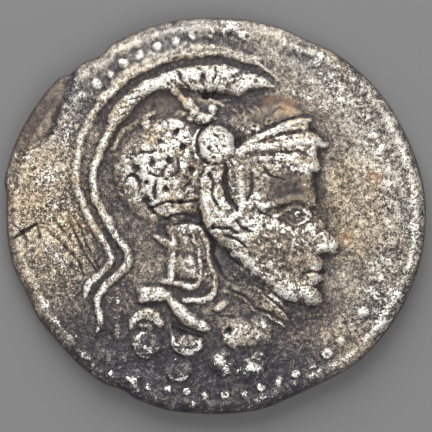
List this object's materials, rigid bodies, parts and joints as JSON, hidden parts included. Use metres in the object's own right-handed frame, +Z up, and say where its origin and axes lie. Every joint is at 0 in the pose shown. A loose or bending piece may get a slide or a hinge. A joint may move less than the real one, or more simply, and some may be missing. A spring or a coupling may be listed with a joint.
{
  "type": "silver coin",
  "caption": "Thick hand-struck silver coin: helmeted head in high relief inside a beaded border, owl on a jar in a wreath on the back, rounded uneven edge.",
  "frame": {"origin": "middle of the coin's outline, in the plane that it lies on", "axes": "+X along the coin's longest extent, the way the head faces; +Y towards the top of the crest; +Z up, out of the side with the head"},
  "size_m": [0.0322, 0.0302, 0.0036],
  "materials": {
    "silver": "worn silver with a dark brown-grey patina in the hollows"
  },
  "bodies": {
    "root": {"tetradrachm": "silver"}
  },
  "joints": []
}
